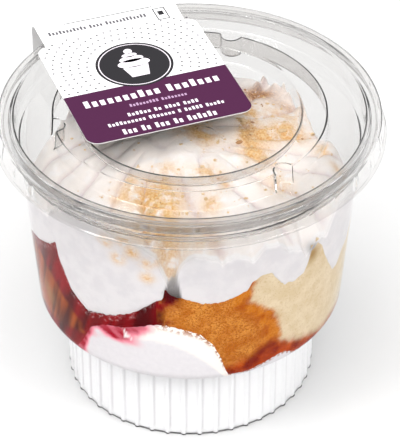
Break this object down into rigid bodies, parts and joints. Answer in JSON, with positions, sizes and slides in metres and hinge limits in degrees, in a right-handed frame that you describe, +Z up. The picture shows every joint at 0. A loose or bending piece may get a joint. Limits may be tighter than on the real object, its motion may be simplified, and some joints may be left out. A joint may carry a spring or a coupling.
{
  "type": "strawberry cake parfait in a lidded clear cup",
  "caption": "Strawberry cake parfait in a clear ribbed-foot cup: icing, sponge cake, strawberry filling and piped icing under a push-fit lid with a card label folded over its rim.",
  "frame": {"origin": "middle of the foot's flat underside, on the surface that the cup stands on", "axes": "+Z up along the cup's axis, -Y towards the front of the cup, +X to its right"},
  "size_m": [0.1014, 0.1032, 0.0846],
  "materials": {
    "cup_plastic": "clear thermoformed plastic, glossy",
    "lid_plastic": "clear thermoformed plastic, glossy",
    "label_card": "smooth coated card, printed white and purple",
    "foot_icing": "soft white icing pressed smooth",
    "cake": "porous sponge crumb, golden to pale, soaked dark red at its foot",
    "strawberry_filling": "wet translucent jam",
    "piped_icing": "soft whipped icing, satin"
  },
  "bodies": {
    "root": {"cup": "cup_plastic", "lid": "lid_plastic", "label": "label_card", "foot_icing": "foot_icing", "cake": "cake", "strawberry_filling": "strawberry_filling", "piped_icing": "piped_icing"}
  },
  "joints": []
}
